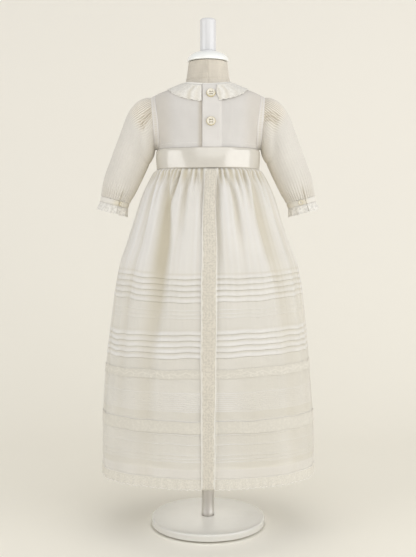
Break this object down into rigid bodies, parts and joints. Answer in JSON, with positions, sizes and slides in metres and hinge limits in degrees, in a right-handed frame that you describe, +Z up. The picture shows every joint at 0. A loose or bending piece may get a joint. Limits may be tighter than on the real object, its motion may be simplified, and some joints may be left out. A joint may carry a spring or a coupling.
{
  "type": "christening gown on a dress form",
  "caption": "Long christening gown with puffed sleeves, round lace collar, satin sash and tucked skirt, buttoned at the back, on a limbless dress form with a round base.",
  "frame": {"origin": "centre of the underside of the stand's round base", "axes": "+Z up along the pole, the gown's front faces +Y and its buttoned back -Y, +X is the wearer's right"},
  "size_m": [0.4028, 0.2316, 0.908],
  "materials": {
    "cotton_lawn": "matt cotton lawn",
    "organza": "sheer organza with a soft sheen",
    "lining": "matt cotton lining",
    "lace": "matt cotton lace",
    "satin": "glossy satin",
    "linen": "coarse natural linen",
    "pearl": "pearly gloss",
    "white_lacquer": "satin white lacquer",
    "pole_steel": "satin steel"
  },
  "bodies": {
    "root": {"bodice_front": "cotton_lawn", "bodice_back_left": "cotton_lawn", "bodice_back_right": "cotton_lawn", "button_placket": "cotton_lawn", "neck_binding": "cotton_lawn", "armhole_band_left": "cotton_lawn", "armhole_band_right": "cotton_lawn", "sleeve_left": "cotton_lawn", "sleeve_right": "cotton_lawn", "cuff_left": "cotton_lawn", "cuff_right": "cotton_lawn", "skirt": "organza", "skirt_lining": "lining", "collar_left": "lace", "collar_right": "lace", "cuff_lace_left": "lace", "cuff_lace_right": "lace", "back_lace_strip": "lace", "skirt_lace_upper": "lace", "skirt_lace_lower": "lace", "hem_lace": "lace", "sash": "satin", "back_button_1": "pearl", "back_button_2": "pearl", "cuff_button_left": "pearl", "cuff_button_right": "pearl", "form_torso": "linen", "neck_cap": "white_lacquer", "finial_rod": "white_lacquer", "stand_base": "white_lacquer", "stand_pole": "pole_steel"}
  },
  "joints": []
}
